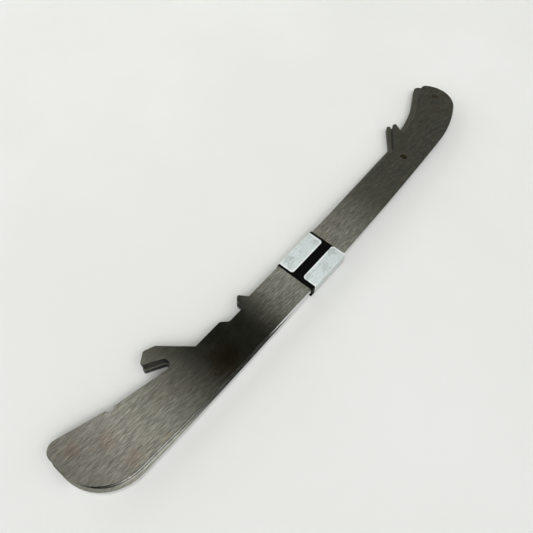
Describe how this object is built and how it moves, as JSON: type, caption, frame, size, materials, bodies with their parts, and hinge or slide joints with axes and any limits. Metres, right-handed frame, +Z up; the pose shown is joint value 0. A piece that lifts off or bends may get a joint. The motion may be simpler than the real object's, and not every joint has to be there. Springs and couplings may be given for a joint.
{
  "type": "hockey skate runner pair",
  "caption": "Matched pair of flat stainless hockey skate runners with holder hooks, laid face to face and bundled by a sliding black wrap band with pale folded labels.",
  "frame": {"origin": "on the table under the middle of the whole bundle's box", "axes": "+X from heel to toe along the upper runner's top edge, +Y from its ice edge to its top edge, +Z up off the table"},
  "size_m": [0.2808, 0.0386, 0.0071],
  "materials": {
    "steel": "lengthwise brushed stainless with faint stains",
    "wrap": "matte black film",
    "label": "pale blue-grey label with a white rim"
  },
  "bodies": {
    "runner_lower": {"runner_lower": "steel"},
    "sleeve": {"wrap_band": "wrap", "label_top_edge": "label", "label_ice_edge": "label"},
    "runner_upper": {"runner_upper": "steel"}
  },
  "joints": [
    {"name": "sleeve_slide", "type": "slide", "parent": "runner_lower", "child": "sleeve", "axis": [0.9997, 0.0236, 0], "range_m": [-0.021, 0.071]},
    {"name": "upper_slide", "type": "slide", "parent": "sleeve", "child": "runner_upper", "axis": [1, 0, 0], "range_m": [-0.072, 0.02]}
  ]
}
